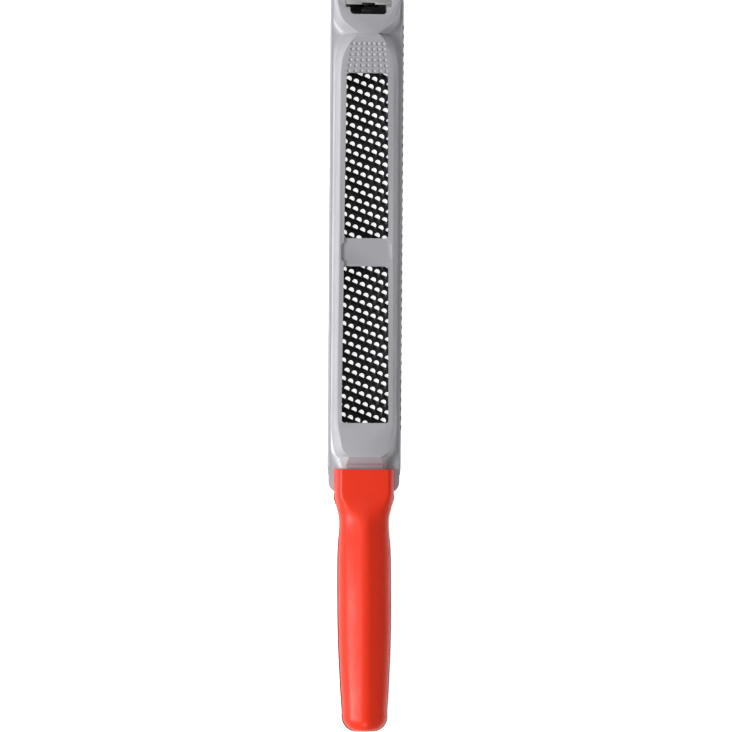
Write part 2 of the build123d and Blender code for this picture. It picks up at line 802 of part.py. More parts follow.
for name, set_back in (("front", screw_set_front), ("middle", screw_set_middle)):
    spot = collar_at + set_back
    under = seat_height(spot)
    nut_low_face = rise(spot) + tang_half_height + 1.6
    nut_high_face = nut_low_face + handle_nut_thickness
    tip = nut_high_face + 0.8
    washer_low = under - handle_washer_thickness
    head_low = washer_low - handle_head_height
    head = upright(spot, head_low, washer_low, handle_head_radius)
    head = fillet(head.edges().group_by(Axis.Z)[0], 0.9)
    body = upright(spot, washer_low, tip, handle_screw_radius)
    cross = Pos(0, at(spot), head_low) * (Box(4.2, 0.9, 2.2) + Box(0.9, 4.2, 2.2))
    fasteners["handle_screw_" + name] = head + body - cross
    ring = upright(spot, washer_low, under, handle_washer_radius)
    ring -= upright(spot, washer_low, under, handle_screw_radius + 0.1)
    fasteners["washer_" + name] = ring
    nut_middle_height = (nut_low_face + nut_high_face) / 2
    nut = Pos(0, at(spot), nut_middle_height) * Box(
        handle_nut_side, handle_nut_side, handle_nut_thickness
    )
    nut = chamfer(nut.edges().filter_by(Axis.Z), 0.4)
    nut -= upright(spot, nut_low_face, nut_high_face, handle_screw_radius + 0.05)
    fasteners["nut_" + name] = nut
    pocket = Pos(0, at(spot), nut_middle_height) * Box(
        handle_nut_side + 0.2, handle_nut_side + 0.2, handle_nut_thickness + 0.2
    )
    bore = upright(spot, 0.0, tip + 0.5, handle_screw_radius + 0.2)
    cover = cover - pocket - bore
    frame -= bore
    base = base - bore - upright(spot, -1.0, under, handle_washer_radius + 0.3)

rear_spot = collar_at + screw_set_rear
rear_under = rise(rear_spot) - 0.5 * head_seat
rear_tip = rise(rear_spot) + 6.5
rear_head_low = rear_under - handle_head_height
rear_head = upright(rear_spot, rear_head_low, rear_under, handle_head_radius)
rear_head = fillet(rear_head.edges().group_by(Axis.Z)[0], 0.9)
rear_body = upright(rear_spot, rear_under, rear_tip, handle_screw_radius)
rear_body = chamfer(rear_body.edges().group_by(Axis.Z)[-1], 1.0)
rear_cross = Pos(0, at(rear_spot), rear_head_low) * (Box(4.2, 0.9, 2.2) + Box(0.9, 4.2, 2.2))
fasteners["handle_screw_rear"] = rear_head + rear_body - rear_cross
rear_bore = upright(rear_spot, rear_under - 1, rear_tip + 0.3, handle_screw_radius + 0.02)
cover -= rear_bore
base = base - rear_bore - upright(rear_spot, -1.0, rear_under, handle_head_radius + 0.4)

# ---------------------------------------------------------------- write every piece
nodes = {
    "frame": frame,
    "anchor_pin": anchor_pin,
    "thrust_washer": thrust_washer,
    "handle_cover": cover,
    "handle_base": base,
    "grip_pad": grip_pad,
    "tension_screw": tension_screw,
    "retaining_clip": retaining_clip,
    "tension_slider": slider,
    "hook": hook,
    "tension_nut": tension_nut,
    "blade": blade,
    **fasteners,
}
for node, shape in nodes.items():
    export_step(shape, f"parts/{node}.step")
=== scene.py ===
"""Visual model of a wood rasp: open cast frame, perforated steel blade, moulded handle."""

import logging
import math
from collections.abc import Callable
from dataclasses import dataclass, field
from enum import Enum

import bmesh
import bpy
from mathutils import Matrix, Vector

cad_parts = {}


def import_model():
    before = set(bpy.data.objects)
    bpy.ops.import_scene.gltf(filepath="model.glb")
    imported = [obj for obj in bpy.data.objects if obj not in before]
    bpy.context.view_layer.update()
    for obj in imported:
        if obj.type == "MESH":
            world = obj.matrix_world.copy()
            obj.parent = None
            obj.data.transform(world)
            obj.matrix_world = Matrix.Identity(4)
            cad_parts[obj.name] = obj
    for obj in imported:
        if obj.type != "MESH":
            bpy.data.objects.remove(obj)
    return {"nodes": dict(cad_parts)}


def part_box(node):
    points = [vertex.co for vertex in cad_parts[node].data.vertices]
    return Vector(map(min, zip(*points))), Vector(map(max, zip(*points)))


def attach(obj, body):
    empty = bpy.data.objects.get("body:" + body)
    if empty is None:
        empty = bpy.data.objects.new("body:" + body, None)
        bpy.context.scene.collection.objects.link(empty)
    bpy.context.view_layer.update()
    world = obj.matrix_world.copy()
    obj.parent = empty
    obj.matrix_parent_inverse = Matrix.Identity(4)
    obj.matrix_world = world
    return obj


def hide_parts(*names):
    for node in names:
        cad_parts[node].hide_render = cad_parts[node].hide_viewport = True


LOG = logging.getLogger("wood_rasp")
MM = 0.001
Colour = tuple[float, float, float]
# Face attribute marking the edge rounding, tinted by the finishes as scuffs and painted highlight.
ROUNDING_FACES = "rounding_faces"
WOOD_DUST: Colour = (0.62, 0.47, 0.3)
STROKE_ROUGHNESS = 0.08
DUST_ROUGHNESS = 0.85
BUMP_STRENGTH = 0.6


@dataclass(frozen=True)
class HoleGrid:
    """Spacing of the blade's holes, in metres, and the hollow pressed behind each one.

    Args:
        phase: X of a hole in the first row.
        column_pitch: spacing across the blade.
        row_pitch: spacing along the blade.
        slope: how far a row drops for each step across.
        first: Y at which the first row crosses the middle of the blade.
        reach: radius of the hollow.
        hollow_x: hollow's middle left of the hole, as a share of the reach.
        hollow_y: hollow's middle towards the handle, as a share of the reach.
    """

    phase: float = 2.86 * MM
    column_pitch: float = 4.05 * MM
    row_pitch: float = 5.03 * MM
    slope: float = 0.364
    first: float = 181.85 * MM
    reach: float = 1.9 * MM
    hollow_x: float = 0.3
    hollow_y: float = 0.85


HOLES = HoleGrid()


class Body(Enum):
    """Rigid groups that the pieces ride on."""

    FRAME = "frame_body"
    SCREW = "screw_body"
    SLIDER = "slider_body"
    BLADE = "blade_body"


class Slot(Enum):
    """Material slots of the record."""

    CASTING = "painted_casting"
    BLADE = "blade_steel"
    PLATED = "plated_steel"
    SPRING = "spring_steel"
    SLIDER = "slider_alloy"
    RED = "red_plastic"
    BLACK = "black_plastic"
    RUBBER = "black_rubber"


# --------------------------------------------------------------------------- shader kit
class ShaderSheet:
    """Node tree wrapper that keeps material code short.

    Args:
        tree: node tree of a material or of a node group.
    """

    def __init__(self, tree: bpy.types.NodeTree) -> None:
        """Remember the tree and start laying nodes out from the left."""
        self.tree = tree
        self.column = 0

    def add(self, kind: str, **settings: object) -> bpy.types.Node:
        """Add a node.

        Args:
            kind: node type identifier.
            settings: node properties; names in capitals set input sockets instead.

        Returns:
            The new node.
        """
        node = self.tree.nodes.new(kind)
        node.location = (220 * self.column, -40 * (self.column % 5))
        self.column += 1
        for name, value in settings.items():
            setattr(node, name, value)
        return node

    def link(self, source: bpy.types.NodeSocket, target: bpy.types.NodeSocket) -> None:
        """Join an output socket to an input socket."""
        self.tree.links.new(source, target)

    def noise(
        self, vector: bpy.types.NodeSocket, scale: float, detail: float = 4.0, rough: float = 0.55
    ) -> bpy.types.NodeSocket:
        """Add a noise texture read at a vector.

        Args:
            vector: coordinates.
            scale: features per metre.
            detail: number of octaves.
            rough: strength of the finer octaves.

        Returns:
            The noise value socket.
        """
        node = self.add("ShaderNodeTexNoise")
        node.inputs["Scale"].default_value = scale
        node.inputs["Detail"].default_value = detail
        node.inputs["Roughness"].default_value = rough
        self.link(vector, node.inputs["Vector"])
        return node.outputs["Fac"]

    def span(
        self, value: bpy.types.NodeSocket, low: float, high: float, out_low: float, out_high: float
    ) -> bpy.types.NodeSocket:
        """Map a value from one range to another, clamped.

        Args:
            value: input socket.
            low: input value that gives out_low.
            high: input value that gives out_high.
            out_low: first output.
            out_high: second output.

        Returns:
            The mapped value socket.
        """
        node = self.add("ShaderNodeMapRange", interpolation_type="SMOOTHSTEP")
        for index, number in enumerate((low, high, out_low, out_high), start=1):
            node.inputs[index].default_value = number
        self.link(value, node.inputs[0])
        return node.outputs[0]

    def math(
        self, operation: str, *values: bpy.types.NodeSocket | float
    ) -> bpy.types.NodeSocket:
        """Combine values.

        Args:
            operation: math node operation.
            *values: sockets or numbers, in the order of the node's inputs.

        Returns:
            The result socket.
        """
        node = self.add("ShaderNodeMath", operation=operation)
        for slot, value in zip(node.inputs, values):
            if isinstance(value, bpy.types.NodeSocket):
                self.link(value, slot)
            else:
                slot.default_value = value
        return node.outputs[0]

    def blend(
        self,
        factor: bpy.types.NodeSocket,
        first: bpy.types.NodeSocket | Colour,
        second: bpy.types.NodeSocket | Colour,
    ) -> bpy.types.NodeSocket:
        """Mix two colours by a mask.

        Args:
            factor: mask socket, 0 for the first colour and 1 for the second.
            first: socket or linear colour.
            second: socket or linear colour.

        Returns:
            The colour socket.
        """
        node = self.add("ShaderNodeMix", data_type="RGBA")
        self.link(factor, node.inputs["Factor"])
        for socket, value in ((node.inputs[6], first), (node.inputs[7], second)):
            if isinstance(value, bpy.types.NodeSocket):
                self.link(value, socket)
            else:
                socket.default_value = (*value, 1.0)
        return node.outputs[2]

    def object_vector(self, stretch: Colour = (1.0, 1.0, 1.0)) -> bpy.types.NodeSocket:
        """Object coordinates, stretched along each axis.

        Args:
            stretch: scale of the coordinates along X, Y and Z.

        Returns:
            The vector socket.
        """
        place = self.add("ShaderNodeTexCoord")
        mapping = self.add("ShaderNodeMapping")
        mapping.inputs["Scale"].default_value = stretch
        self.link(place.outputs["Object"], mapping.inputs["Vector"])
        return mapping.outputs["Vector"]


class EffectLibrary:
    """Shader node groups shared by several finishes, each built once."""

    def __init__(self) -> None:
        """Start with no groups."""
        self.groups: dict[str, bpy.types.NodeTree] = {}

    def _group(
        self, name: str, inputs: dict[str, float], outputs: tuple[str, ...],
        fill: Callable[[ShaderSheet, bpy.types.Node, bpy.types.Node], None],
    ) -> bpy.types.NodeTree:
        """Build a group on first use.

        Args:
            name: group name.
            inputs: input names and default values.
            outputs: output names.
            fill: callback that lays the nodes between the group's input and output.

        Returns:
            The node group.
        """
        if name not in self.groups:
            tree = bpy.data.node_groups.new(name, "ShaderNodeTree")
            for label, value in inputs.items():
                socket = tree.interface.new_socket(
                    label, in_out="INPUT", socket_type="NodeSocketFloat"
                )
                socket.default_value = value
            for label in outputs:
                tree.interface.new_socket(label, in_out="OUTPUT", socket_type="NodeSocketFloat")
            sheet = ShaderSheet(tree)
            entry = sheet.add("NodeGroupInput")
            leave = sheet.add("NodeGroupOutput")
            fill(sheet, entry, leave)
            self.groups[name] = tree
        return self.groups[name]

    @staticmethod
    def _fill_patina(
        sheet: ShaderSheet, entry: bpy.types.Node, leave: bpy.types.Node
    ) -> None:
        """Broad cloudy variation with a finer layer in it."""
        vector = sheet.object_vector()
        scaled = sheet.add("ShaderNodeVectorMath", operation="SCALE")
        sheet.link(vector, scaled.inputs[0])
        sheet.link(entry.outputs["Scale"], scaled.inputs["Scale"])
        broad = sheet.noise(scaled.outputs[0], 1.0, 3.0)
        fine = sheet.noise(scaled.outputs[0], 6.5, 5.0, 0.65)
        added = sheet.math("MULTIPLY_ADD", broad, 0.65, sheet.math("MULTIPLY", fine, 0.35))
        sheet.link(sheet.span(added, 0.34, 0.66, 0.0, 1.0), leave.inputs["Mask"])

    @staticmethod
    def _fill_scuff_and_highlight(sheet: ShaderSheet, entry: bpy.types.Node, leave: bpy.types.Node) -> None:
        """Scuffs and painted highlight on the rounding faces, broken up by noise."""
        rounding_faces = sheet.add("ShaderNodeAttribute", attribute_name=ROUNDING_FACES)
        edge_breakup = sheet.noise(sheet.object_vector(), 420.0, 6.0, 0.7)
        broken = sheet.span(edge_breakup, 0.34, 0.66, 0.25, 1.0)
        edge = sheet.math("MULTIPLY", rounding_faces.outputs["Fac"], broken)
        sheet.link(sheet.math("MULTIPLY", edge, entry.outputs["Amount"]), leave.inputs["Mask"])

    @staticmethod
    def _fill_dust(sheet: ShaderSheet, entry: bpy.types.Node, leave: bpy.types.Node) -> None:
        """Fine wood dust lying in loose clouds on faces that look up."""
        shape = sheet.add("ShaderNodeNewGeometry")
        split = sheet.add("ShaderNodeSeparateXYZ")
        sheet.link(shape.outputs["Normal"], split.inputs[0])
        upward = sheet.span(split.outputs["Z"], 0.2, 0.95, 0.0, 1.0)
        specks = sheet.noise(sheet.object_vector(), 1400.0, 3.0, 0.8)
        clouds = sheet.noise(sheet.object_vector(), 45.0, 4.0)
        fine = sheet.span(specks, 0.52, 0.68, 0.0, 1.0)
        loose = sheet.math("MULTIPLY", fine, sheet.span(clouds, 0.4, 0.7, 0.0, 1.0))
        caught = sheet.math("MULTIPLY", upward, loose)
        sheet.link(sheet.math("MULTIPLY", caught, entry.outputs["Amount"]), leave.inputs["Mask"])

    @staticmethod
    def _fill_ribs(sheet: ShaderSheet, entry: bpy.types.Node, leave: bpy.types.Node) -> None:
        """Rounded ribs across the tool, as a height."""
        split = sheet.add("ShaderNodeSeparateXYZ")
        sheet.link(sheet.object_vector(), split.inputs[0])
        turn = sheet.math("MULTIPLY", split.outputs["Y"], entry.outputs["Scale"])
        wave = sheet.math("SINE", turn)
        sheet.link(sheet.span(wave, -1.0, 0.2, 0.0, 1.0), leave.inputs["Height"])

    @staticmethod
    def _fill_teeth(sheet: ShaderSheet, entry: bpy.types.Node, leave: bpy.types.Node) -> None:
        """Pressed hollows in front of the flat side of every hole, 1 in the middle of each."""
        split = sheet.add("ShaderNodeSeparateXYZ")
        sheet.link(sheet.object_vector(), split.inputs[0])
        across = sheet.math("SUBTRACT", split.outputs["X"], HOLES.phase)
        slanted = sheet.math("MULTIPLY_ADD", split.outputs["X"], HOLES.slope, split.outputs["Y"])
        down = sheet.math("SUBTRACT", HOLES.first, slanted)
        row = sheet.math("DIVIDE", down, HOLES.row_pitch)
        nearest = sheet.math("FLOOR", sheet.math("ADD", row, 0.5))
        odd = sheet.math("FLOORED_MODULO", nearest, 2.0)
        moved = sheet.math("SUBTRACT", across, sheet.math("MULTIPLY", odd, HOLES.column_pitch / 2))
        column = sheet.math("DIVIDE", moved, HOLES.column_pitch)
        middle = sheet.math("FLOOR", sheet.math("ADD", column, 0.5))
        side = sheet.math("SUBTRACT", column, middle)
        along = sheet.math("SUBTRACT", row, nearest)
        dx = sheet.math("MULTIPLY", side, HOLES.column_pitch / HOLES.reach)
        dy = sheet.math("MULTIPLY", along, HOLES.row_pitch / HOLES.reach)
        dx = sheet.math("ADD", dx, HOLES.hollow_x)
        dy = sheet.math("SUBTRACT", dy, HOLES.hollow_y)
        square = sheet.math("ADD", sheet.math("MULTIPLY", dx, dx), sheet.math("MULTIPLY", dy, dy))
        sheet.link(sheet.span(square, 0.0, 1.0, 1.0, 0.0), leave.inputs["Mask"])

    @staticmethod
    def _fill_grain(sheet: ShaderSheet, entry: bpy.types.Node, leave: bpy.types.Node) -> None:
        """Pebbled surface height, from fine cells softened by noise."""
        vector = sheet.object_vector()
        cells = sheet.add("ShaderNodeTexVoronoi", feature="SMOOTH_F1")
        sheet.link(vector, cells.inputs["Vector"])
        sheet.link(entry.outputs["Scale"], cells.inputs["Scale"])
        cloud = sheet.add("ShaderNodeTexNoise")
        sheet.link(vector, cloud.inputs["Vector"])
        sheet.link(entry.outputs["Scale"], cloud.inputs["Scale"])
        cloud.inputs["Detail"].default_value = 3.0
        both = sheet.math("ADD", cells.outputs["Distance"], cloud.outputs["Fac"])
        sheet.link(both, leave.inputs["Height"])

    @staticmethod
    def _fill_strokes(sheet: ShaderSheet, entry: bpy.types.Node, leave: bpy.types.Node) -> None:
        """Long fine scratches running with the tool."""
        vector = sheet.object_vector((1.0, 0.035, 1.0))
        scaled = sheet.add("ShaderNodeVectorMath", operation="SCALE")
        sheet.link(vector, scaled.inputs[0])
        sheet.link(entry.outputs["Scale"], scaled.inputs["Scale"])
        lines = sheet.noise(scaled.outputs[0], 1.0, 6.0, 0.75)
        sheet.link(sheet.span(lines, 0.44, 0.6, 0.0, 1.0), leave.inputs["Mask"])

    def place(self, sheet: ShaderSheet, name: str, **values: float) -> bpy.types.NodeSocket:
        """Put one shared effect in a material.

        Args:
            sheet: sheet of the material.
            name: patina, scuffs with painted highlight, dust, grain, strokes, ribs or teeth.
            values: values for the group's inputs.

        Returns:
            The effect's output socket.
        """
        recipes = {
            "patina": ({"Scale": 30.0}, ("Mask",), self._fill_patina),
            "scuff_and_painted_highlight": ({"Amount": 1.0}, ("Mask",), self._fill_scuff_and_highlight),
            "dust": ({"Amount": 1.0}, ("Mask",), self._fill_dust),
            "grain": ({"Scale": 900.0}, ("Height",), self._fill_grain),
            "strokes": ({"Scale": 900.0}, ("Mask",), self._fill_strokes),
            "ribs": ({"Scale": 2400.0}, ("Height",), self._fill_ribs),
            "teeth": ({"Amount": 1.0}, ("Mask",), self._fill_teeth),
        }
        node = sheet.add("ShaderNodeGroup", node_tree=self._group(name, *recipes[name]))
        for label, value in values.items():
            node.inputs[label].default_value = value
        return node.outputs[0]


# --------------------------------------------------------------------------- finishes
@dataclass(frozen=True)
class Finish:
    """A surface finish: two tones, a roughness range, grain, scuffs, scratches, dust, painted
    highlight and shade.

    Args:
        name: material name.
        slot: record slot it belongs to.
        tone: main linear colour.
        shade: colour of the patches, and the painted shade in the pressed hollows.
        scuff_and_highlight_tone: colour of the rounded edges, scuffs and painted highlight.
        rough: lowest and highest roughness.
        metal: how metallic the surface is.
        coat: weight of a clear top layer.
        coat_rough: roughness of that layer.
        shine: strength of the mirror-like reflection.
        patch_scale: patches per metre.
        grain_scale: grains per metre.
        grain_depth: bump distance of the grain in metres.
        scuff_and_painted_highlight: strength of the edge colour: scuffs, and on the casting a
            painted highlight.
        edge_metal: how metallic the rounded edges are.
        stroke_scale: scratches per metre across the tool, 0 for none.
        stroke_tone: colour of the scratches.
        stroke_amount: how far the scratches tint the colour.
        dust: strength of caught wood dust.
        ribs: depth of ribs across the tool in metres, 0 for none.
        teeth: depth of the pressed hollows in metres, 0 for none; the hollows also get painted
            shade.
    """

    name: str
    slot: Slot
    tone: Colour
    shade: Colour
    scuff_and_highlight_tone: Colour = (0.5, 0.5, 0.5)
    rough: tuple[float, float] = (0.35, 0.5)
    metal: float = 0.0
    coat: float = 0.0
    coat_rough: float = 0.1
    shine: float = 0.5
    patch_scale: float = 40.0
    grain_scale: float = 900.0
    grain_depth: float = 0.00002
    scuff_and_painted_highlight: float = 0.0
    edge_metal: float = 1.0
    stroke_scale: float = 0.0
    stroke_tone: Colour = (0.5, 0.5, 0.5)
    stroke_amount: float = 0.3
    dust: float = 0.0
    ribs: float = 0.0
    teeth: float = 0.0

    def material(self, effects: EffectLibrary) -> bpy.types.Material:
        """Build the procedural material.

        Args:
            effects: shared node groups.

        Returns:
            The material.
        """
        material = bpy.data.materials.new(self.name)
        material.use_nodes = True
        material.node_tree.nodes.clear()
        sheet = ShaderSheet(material.node_tree)
        surface = sheet.add("ShaderNodeBsdfPrincipled")
        output = sheet.add("ShaderNodeOutputMaterial")
        sheet.link(surface.outputs["BSDF"], output.inputs["Surface"])
        surface.inputs["Metallic"].default_value = self.metal
        surface.inputs["Coat Weight"].default_value = self.coat
        surface.inputs["Coat Roughness"].default_value = self.coat_rough
        surface.inputs["Specular IOR Level"].default_value = self.shine

        patch = effects.place(sheet, "patina", Scale=self.patch_scale)
        colour = sheet.blend(patch, self.tone, self.shade)
        rough = sheet.span(patch, 0.0, 1.0, self.rough[0], self.rough[1])
        height = effects.place(sheet, "grain", Scale=self.grain_scale)
        if self.stroke_scale:
            strokes = effects.place(sheet, "strokes", Scale=self.stroke_scale)
            weak = sheet.math("MULTIPLY", strokes, self.stroke_amount)
            colour = sheet.blend(weak, colour, self.stroke_tone)
            rougher = sheet.math("MULTIPLY", strokes, STROKE_ROUGHNESS)
            rough = sheet.math("ADD", rough, rougher)
        # Rounded edges take the edge colour: scuffs, and on the casting a painted highlight.
        if self.scuff_and_painted_highlight:
            scuff_and_highlight_mask = effects.place(sheet, "scuff_and_painted_highlight", Amount=self.scuff_and_painted_highlight)
            colour = sheet.blend(scuff_and_highlight_mask, colour, self.scuff_and_highlight_tone)
            metallic = sheet.span(scuff_and_highlight_mask, 0.0, 1.0, self.metal, self.edge_metal)
            sheet.link(metallic, surface.inputs["Metallic"])
        if self.dust:
            dusty = effects.place(sheet, "dust", Amount=self.dust)
            colour = sheet.blend(dusty, colour, WOOD_DUST)
            powder = sheet.math("MULTIPLY", dusty, DUST_ROUGHNESS)
            rough = sheet.math("MAXIMUM", rough, powder)
        bump = sheet.add("ShaderNodeBump")
        bump.inputs["Strength"].default_value = BUMP_STRENGTH
        bump.inputs["Distance"].default_value = self.grain_depth
        sheet.link(height, bump.inputs["Height"])
        if self.ribs:
            ribs = sheet.add("ShaderNodeBump")
            ribs.inputs["Distance"].default_value = self.ribs
            sheet.link(effects.place(sheet, "ribs"), ribs.inputs["Height"])
            sheet.link(ribs.outputs["Normal"], bump.inputs["Normal"])
        if self.teeth:
            hollows = effects.place(sheet, "teeth")
            # Painted shade: the pressed hollows are darkened towards the patch colour.
            colour = sheet.blend(hollows, colour, self.shade)
            press = sheet.add("ShaderNodeBump")
            press.invert = True
            press.inputs["Distance"].default_value = self.teeth
            sheet.link(hollows, press.inputs["Height"])
            sheet.link(press.outputs["Normal"], bump.inputs["Normal"])
        sheet.link(colour, surface.inputs["Base Color"])
        sheet.link(rough, surface.inputs["Roughness"])
        sheet.link(bump.outputs["Normal"], surface.inputs["Normal"])
        return material


FINISHES: tuple[Finish, ...] = (
    Finish(
        "satin_grey_casting", Slot.CASTING, (0.42, 0.42, 0.445), (0.4, 0.4, 0.425),
        # Near-white edges at full strength: a painted highlight along the casting's rounded edges.
        scuff_and_highlight_tone=(0.95, 0.95, 0.96), rough=(0.36, 0.46), metal=0.15, patch_scale=34.0,
        grain_scale=1500.0, grain_depth=0.000016, scuff_and_painted_highlight=1.0, edge_metal=0.3, dust=0.05,
    ),
    Finish(
        "black_hardened_steel", Slot.BLADE, (0.03, 0.03, 0.034), (0.006, 0.006, 0.007),
        scuff_and_highlight_tone=(0.35, 0.35, 0.36), rough=(0.38, 0.55), metal=0.6, patch_scale=70.0,
        grain_scale=2600.0, grain_depth=0.00001, scuff_and_painted_highlight=0.35, teeth=0.0006,
        stroke_scale=2600.0, stroke_tone=(0.045, 0.045, 0.048), stroke_amount=0.35,
    ),
    Finish(
        "bright_plated_steel", Slot.PLATED, (0.6, 0.6, 0.58), (0.5, 0.51, 0.5),
        scuff_and_highlight_tone=(0.7, 0.7, 0.7), rough=(0.22, 0.38), metal=1.0, patch_scale=160.0,
        grain_scale=2200.0, grain_depth=0.00001, scuff_and_painted_highlight=0.3,
    ),
    Finish(
        "oiled_spring_steel", Slot.SPRING, (0.05, 0.05, 0.055), (0.03, 0.03, 0.03),
        scuff_and_highlight_tone=(0.35, 0.35, 0.36), rough=(0.28, 0.45), metal=0.9, patch_scale=150.0,
        grain_scale=2200.0, grain_depth=0.00001, scuff_and_painted_highlight=0.3,
    ),
    Finish(
        "tumbled_slider_alloy", Slot.SLIDER, (0.42, 0.42, 0.42), (0.37, 0.37, 0.37),
        scuff_and_highlight_tone=(0.75, 0.75, 0.76), rough=(0.34, 0.46), metal=0.3, patch_scale=110.0,
        grain_scale=1700.0, grain_depth=0.00002, scuff_and_painted_highlight=0.6,
    ),
    Finish(
        "glossy_red_moulding", Slot.RED, (0.84, 0.036, 0.01), (0.8, 0.032, 0.009),
        scuff_and_highlight_tone=(0.9, 0.12, 0.06), rough=(0.38, 0.46), coat=0.05, coat_rough=0.2, shine=0.25,
        patch_scale=22.0, grain_scale=700.0, grain_depth=0.000004, scuff_and_painted_highlight=0.3, edge_metal=0.0,
        stroke_scale=1100.0, stroke_tone=(0.85, 0.07, 0.03), stroke_amount=0.08,
    ),
    Finish(
        "grained_black_moulding", Slot.BLACK, (0.006, 0.006, 0.0065), (0.011, 0.011, 0.012),
        scuff_and_highlight_tone=(0.04, 0.04, 0.04), rough=(0.5, 0.65), shine=0.3, patch_scale=60.0,
        grain_scale=1400.0, grain_depth=0.00004, scuff_and_painted_highlight=0.4, edge_metal=0.0,
    ),
    Finish(
        "soft_black_rubber", Slot.RUBBER, (0.014, 0.014, 0.014), (0.024, 0.023, 0.022),
        scuff_and_highlight_tone=(0.07, 0.07, 0.068), rough=(0.68, 0.84), patch_scale=90.0,
        grain_scale=1900.0, grain_depth=0.00005, scuff_and_painted_highlight=0.5, edge_metal=0.0, dust=0.15,
        ribs=0.0007,
    ),
)
# Darker copy of the plated steel: painted shade on the screw and nut deep in the nose.
SHADED_PLATE = Finish(
    "painted_shade_plating", Slot.PLATED, (0.03, 0.03, 0.032), (0.015, 0.015, 0.016),
    scuff_and_highlight_tone=(0.3, 0.3, 0.3), rough=(0.3, 0.5), metal=0.8, patch_scale=160.0,
    grain_scale=2200.0, grain_depth=0.00001, scuff_and_painted_highlight=0.25,
)


class Paintbox:
    """All finishes of the tool, ready to put on its pieces."""

    def __init__(self) -> None:
        """Build one material for each slot, and a darker copy of the plating as painted shade."""
        effects = EffectLibrary()
        self.materials = {finish.slot: finish.material(effects) for finish in FINISHES}
        self.shaded_plating = SHADED_PLATE.material(effects)

    def dress(self, piece: bpy.types.Object, slot: Slot) -> None:
        """Give a piece its finish.

        Args:
            piece: mesh object.
            slot: finish to use.
        """
        if not piece.material_slots:
            piece.data.materials.append(self.materials[slot])
        for holder in piece.material_slots:
            holder.material = self.materials[slot]


# --------------------------------------------------------------------------- mesh kit
class Mesher:
    """Shared steps for making pieces out of bmesh work."""

    @staticmethod
    def loft(rings: list[list[Vector]]) -> bmesh.types.BMesh:
        """Skin closed rings into a closed solid.

        Args:
            rings: rings of points, all of one length and in step with each other.

        Returns:
            The bmesh.
        """
        bm = bmesh.new()
        made = bmesh.ops.create_circle(bm, cap_ends=False, radius=1.0, segments=len(rings[0]))
        ring = list(made["verts"])
        for vert, point in zip(ring, rings[0]):
            vert.co = point
        for points in rings[1:]:
            inside = set(ring)
            edges = [edge for edge in bm.edges if inside.issuperset(edge.verts)]
            grown = bmesh.ops.extrude_edge_only(bm, edges=edges)["geom"]
            fresh = {item for item in grown if isinstance(item, bmesh.types.BMVert)}
            step = []
            for vert in ring:
                ends = (edge.other_vert(vert) for edge in vert.link_edges)
                step.append(next(end for end in ends if end in fresh))
            for vert, point in zip(step, points):
                vert.co = point
            ring = step
        open_edges = [edge for edge in bm.edges if edge.is_boundary]
        bmesh.ops.holes_fill(bm, edges=open_edges, sides=0)
        bmesh.ops.recalc_face_normals(bm, faces=bm.faces)
        return bm

    @staticmethod
    def from_node(node: str) -> bmesh.types.BMesh:
        """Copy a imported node's mesh and knit its loose triangles into clean faces.

        Args:
            node: CAD node name.

        Returns:
            The bmesh.
        """
        bm = bmesh.new()
        bm.from_mesh(FRAME["nodes"][node].data)
        bmesh.ops.remove_doubles(bm, verts=bm.verts, dist=0.002 * MM)
        bmesh.ops.dissolve_limit(
            bm, angle_limit=math.radians(0.6), verts=bm.verts, edges=bm.edges,
            use_dissolve_boundaries=False, delimit=set(),
        )
        return bm

    @staticmethod
    def round_edges(
        bm: bmesh.types.BMesh, width: float, crease: float = 35.0, shortest: float = 0.0,
        skip: Callable[[Vector], bool] | None = None,
    ) -> None:
        """Round the sharp edges and mark the rounding faces for scuffs and painted highlight.

        Args:
            bm: mesh to change.
            width: size of the rounding.
            crease: smallest edge angle that is rounded, in degrees.
            shortest: length under which an edge is left alone.
            skip: says whether an edge whose middle is given is left alone.
        """
        rounding_faces = bm.faces.layers.float.new(ROUNDING_FACES)
        limit = math.radians(crease)
        edges = []
        for edge in bm.edges:
            middle = (edge.verts[0].co + edge.verts[1].co) / 2
            if edge.calc_face_angle(0.0) < limit or edge.calc_length() < shortest:
                continue
            if skip is None or not skip(middle):
                edges.append(edge)
        made = bmesh.ops.bevel(
            bm, geom=edges, offset=width, offset_type="OFFSET", segments=2, profile=0.5,
            affect="EDGES", clamp_overlap=True, material=-1,
        )
        for face in made["faces"]:
            face[rounding_faces] = 1.0

    @staticmethod
    def piece(
        bm: bmesh.types.BMesh, name: str, body: Body, nodes: tuple[str, ...], slot: Slot,
        crease: float = 32.0, round_edge: float = 0.0, segments: int = 2,
    ) -> bpy.types.Object:
        """Turn a bmesh into a finished, riding piece.

        Args:
            bm: mesh to use; it is freed.
            name: piece name.
            body: body it rides on.
            nodes: CAD nodes it stands for.
            slot: record slot; not used.
            crease: angle in degrees above which an edge stays sharp.
            round_edge: radius of the rounding on sharp edges, in metres.
            segments: steps in that rounding.

        Returns:
            The object.
        """
        for face in bm.faces:
            face.smooth = True
        for edge in bm.edges:
            edge.smooth = edge.calc_face_angle(0.0) < math.radians(crease)
        mesh = bpy.data.meshes.new(name)
        bm.to_mesh(mesh)
        bm.free()
        piece = bpy.data.objects.new(name, mesh)
        bpy.context.scene.collection.objects.link(piece)
        if round_edge:
            soften = piece.modifiers.new("soft_edges", "BEVEL")
            soften.width = round_edge
            soften.segments = segments
            soften.limit_method = "ANGLE"
            soften.angle_limit = math.radians(crease)
            soften.harden_normals = True
            soften.use_clamp_overlap = True
        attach(piece, body.value)
        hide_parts(*nodes)
        return piece


